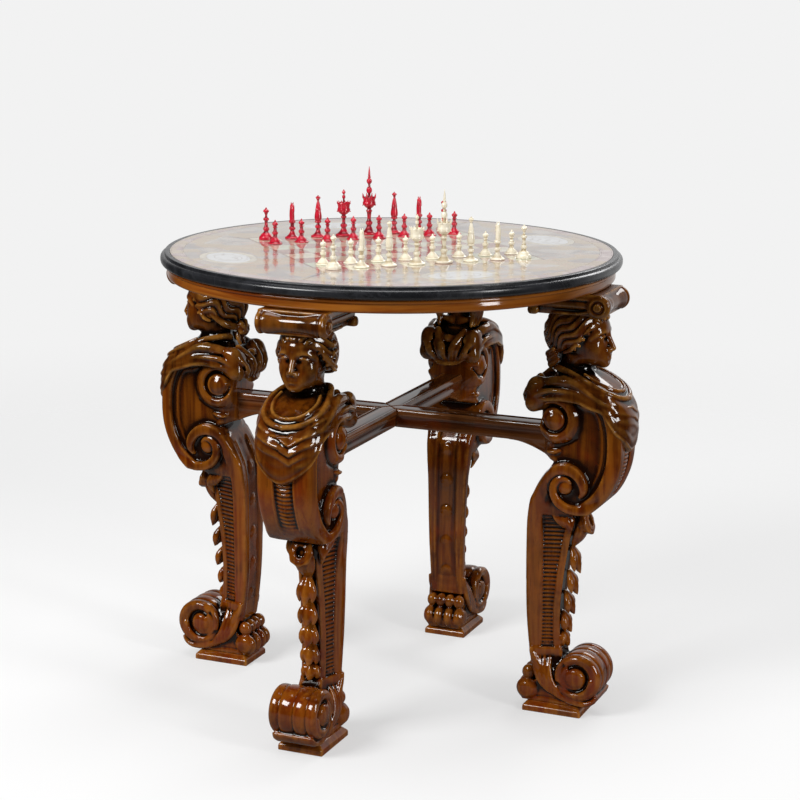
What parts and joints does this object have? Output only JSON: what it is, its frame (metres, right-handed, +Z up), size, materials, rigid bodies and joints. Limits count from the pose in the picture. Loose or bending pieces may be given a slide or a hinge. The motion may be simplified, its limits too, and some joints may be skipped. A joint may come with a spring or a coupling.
{
  "type": "chess table",
  "caption": "Round chess table with inlaid stone top on carved bust legs and a cross stretcher, set with turned chessmen.",
  "frame": {"origin": "on the floor under the middle of the table top", "axes": "+Z up; the four legs stand on +X (right), +Y (back), -X (left) and -Y (front)"},
  "size_m": [0.8628, 0.8628, 0.878],
  "materials": {
    "slate": "polished",
    "rose_stone": "polished",
    "grey_stone": "polished",
    "white_stone": "polished",
    "brown_stone": "polished",
    "light_stone": "polished",
    "dark_stone": "polished",
    "walnut": "polished",
    "plain_wood": "planed",
    "beech": "plain",
    "screw_steel": "plain",
    "cream_bone": "polished",
    "crimson_bone": "polished"
  },
  "bodies": {
    "table": {"top_slab": "slate", "inlay_border_band": "rose_stone", "inlay_field": "grey_stone", "inlay_medallions": "white_stone", "board_frame": "brown_stone", "light_squares": "light_stone", "dark_squares": "dark_stone", "apron_ring": "walnut", "sub_top": "plain_wood", "cross_battens": "plain_wood", "top_screws": "screw_steel", "joint_dowels": "beech", "plinths": "walnut", "stretcher_rail_x": "walnut", "stretcher_rail_y": "walnut", "scroll_leg_right": "walnut", "bust_right": "walnut", "capital_right": "walnut", "scroll_leg_back": "walnut", "bust_back": "walnut", "capital_back": "walnut", "scroll_leg_left": "walnut", "bust_left": "walnut", "capital_left": "walnut", "scroll_leg_front": "walnut", "bust_front": "walnut", "capital_front": "walnut"},
    "cream_rook_1": {"cream_rook_1": "cream_bone"},
    "cream_knight_2": {"cream_knight_2": "cream_bone"},
    "cream_bishop_3": {"cream_bishop_3": "cream_bone"},
    "cream_queen": {"cream_queen": "cream_bone"},
    "cream_king": {"cream_king": "cream_bone"},
    "cream_bishop_6": {"cream_bishop_6": "cream_bone"},
    "cream_knight_7": {"cream_knight_7": "cream_bone"},
    "cream_rook_8": {"cream_rook_8": "cream_bone"},
    "cream_pawn_1": {"cream_pawn_1": "cream_bone"},
    "cream_pawn_2": {"cream_pawn_2": "cream_bone"},
    "cream_pawn_3": {"cream_pawn_3": "cream_bone"},
    "cream_pawn_4": {"cream_pawn_4": "cream_bone"},
    "cream_pawn_5": {"cream_pawn_5": "cream_bone"},
    "cream_pawn_6": {"cream_pawn_6": "cream_bone"},
    "cream_pawn_7": {"cream_pawn_7": "cream_bone"},
    "cream_pawn_8": {"cream_pawn_8": "cream_bone"},
    "crimson_rook_1": {"crimson_rook_1": "crimson_bone"},
    "crimson_knight_2": {"crimson_knight_2": "crimson_bone"},
    "crimson_bishop_3": {"crimson_bishop_3": "crimson_bone"},
    "crimson_queen": {"crimson_queen": "crimson_bone"},
    "crimson_king": {"crimson_king": "crimson_bone"},
    "crimson_bishop_6": {"crimson_bishop_6": "crimson_bone"},
    "crimson_knight_7": {"crimson_knight_7": "crimson_bone"},
    "crimson_rook_8": {"crimson_rook_8": "crimson_bone"},
    "crimson_pawn_1": {"crimson_pawn_1": "crimson_bone"},
    "crimson_pawn_2": {"crimson_pawn_2": "crimson_bone"},
    "crimson_pawn_3": {"crimson_pawn_3": "crimson_bone"},
    "crimson_pawn_4": {"crimson_pawn_4": "crimson_bone"},
    "crimson_pawn_5": {"crimson_pawn_5": "crimson_bone"},
    "crimson_pawn_6": {"crimson_pawn_6": "crimson_bone"},
    "crimson_pawn_7": {"crimson_pawn_7": "crimson_bone"},
    "crimson_pawn_8": {"crimson_pawn_8": "crimson_bone"}
  },
  "joints": [
    {"name": "cream_rook_1_lift", "type": "slide", "parent": "table", "child": "cream_rook_1", "axis": [0, 0, 1], "range_m": [0, 0.15]},
    {"name": "cream_knight_2_lift", "type": "slide", "parent": "table", "child": "cream_knight_2", "axis": [0, 0, 1], "range_m": [0, 0.15]},
    {"name": "cream_bishop_3_lift", "type": "slide", "parent": "table", "child": "cream_bishop_3", "axis": [0, 0, 1], "range_m": [0, 0.15]},
    {"name": "cream_queen_lift", "type": "slide", "parent": "table", "child": "cream_queen", "axis": [0, 0, 1], "range_m": [0, 0.15]},
    {"name": "cream_king_lift", "type": "slide", "parent": "table", "child": "cream_king", "axis": [0, 0, 1], "range_m": [0, 0.15]},
    {"name": "cream_bishop_6_lift", "type": "slide", "parent": "table", "child": "cream_bishop_6", "axis": [0, 0, 1], "range_m": [0, 0.15]},
    {"name": "cream_knight_7_lift", "type": "slide", "parent": "table", "child": "cream_knight_7", "axis": [0, 0, 1], "range_m": [0, 0.15]},
    {"name": "cream_rook_8_lift", "type": "slide", "parent": "table", "child": "cream_rook_8", "axis": [0, 0, 1], "range_m": [0, 0.15]},
    {"name": "cream_pawn_1_lift", "type": "slide", "parent": "table", "child": "cream_pawn_1", "axis": [0, 0, 1], "range_m": [0, 0.15]},
    {"name": "cream_pawn_2_lift", "type": "slide", "parent": "table", "child": "cream_pawn_2", "axis": [0, 0, 1], "range_m": [0, 0.15]},
    {"name": "cream_pawn_3_lift", "type": "slide", "parent": "table", "child": "cream_pawn_3", "axis": [0, 0, 1], "range_m": [0, 0.15]},
    {"name": "cream_pawn_4_lift", "type": "slide", "parent": "table", "child": "cream_pawn_4", "axis": [0, 0, 1], "range_m": [0, 0.15]},
    {"name": "cream_pawn_5_lift", "type": "slide", "parent": "table", "child": "cream_pawn_5", "axis": [0, 0, 1], "range_m": [0, 0.15]},
    {"name": "cream_pawn_6_lift", "type": "slide", "parent": "table", "child": "cream_pawn_6", "axis": [0, 0, 1], "range_m": [0, 0.15]},
    {"name": "cream_pawn_7_lift", "type": "slide", "parent": "table", "child": "cream_pawn_7", "axis": [0, 0, 1], "range_m": [0, 0.15]},
    {"name": "cream_pawn_8_lift", "type": "slide", "parent": "table", "child": "cream_pawn_8", "axis": [0, 0, 1], "range_m": [0, 0.15]},
    {"name": "crimson_rook_1_lift", "type": "slide", "parent": "table", "child": "crimson_rook_1", "axis": [0, 0, 1], "range_m": [0, 0.15]},
    {"name": "crimson_knight_2_lift", "type": "slide", "parent": "table", "child": "crimson_knight_2", "axis": [0, 0, 1], "range_m": [0, 0.15]},
    {"name": "crimson_bishop_3_lift", "type": "slide", "parent": "table", "child": "crimson_bishop_3", "axis": [0, 0, 1], "range_m": [0, 0.15]},
    {"name": "crimson_queen_lift", "type": "slide", "parent": "table", "child": "crimson_queen", "axis": [0, 0, 1], "range_m": [0, 0.15]},
    {"name": "crimson_king_lift", "type": "slide", "parent": "table", "child": "crimson_king", "axis": [0, 0, 1], "range_m": [0, 0.15]},
    {"name": "crimson_bishop_6_lift", "type": "slide", "parent": "table", "child": "crimson_bishop_6", "axis": [0, 0, 1], "range_m": [0, 0.15]},
    {"name": "crimson_knight_7_lift", "type": "slide", "parent": "table", "child": "crimson_knight_7", "axis": [0, 0, 1], "range_m": [0, 0.15]},
    {"name": "crimson_rook_8_lift", "type": "slide", "parent": "table", "child": "crimson_rook_8", "axis": [0, 0, 1], "range_m": [0, 0.15]},
    {"name": "crimson_pawn_1_lift", "type": "slide", "parent": "table", "child": "crimson_pawn_1", "axis": [0, 0, 1], "range_m": [0, 0.15]},
    {"name": "crimson_pawn_2_lift", "type": "slide", "parent": "table", "child": "crimson_pawn_2", "axis": [0, 0, 1], "range_m": [0, 0.15]},
    {"name": "crimson_pawn_3_lift", "type": "slide", "parent": "table", "child": "crimson_pawn_3", "axis": [0, 0, 1], "range_m": [0, 0.15]},
    {"name": "crimson_pawn_4_lift", "type": "slide", "parent": "table", "child": "crimson_pawn_4", "axis": [0, 0, 1], "range_m": [0, 0.15]},
    {"name": "crimson_pawn_5_lift", "type": "slide", "parent": "table", "child": "crimson_pawn_5", "axis": [0, 0, 1], "range_m": [0, 0.15]},
    {"name": "crimson_pawn_6_lift", "type": "slide", "parent": "table", "child": "crimson_pawn_6", "axis": [0, 0, 1], "range_m": [0, 0.15]},
    {"name": "crimson_pawn_7_lift", "type": "slide", "parent": "table", "child": "crimson_pawn_7", "axis": [0, 0, 1], "range_m": [0, 0.15]},
    {"name": "crimson_pawn_8_lift", "type": "slide", "parent": "table", "child": "crimson_pawn_8", "axis": [0, 0, 1], "range_m": [0, 0.15]}
  ]
}
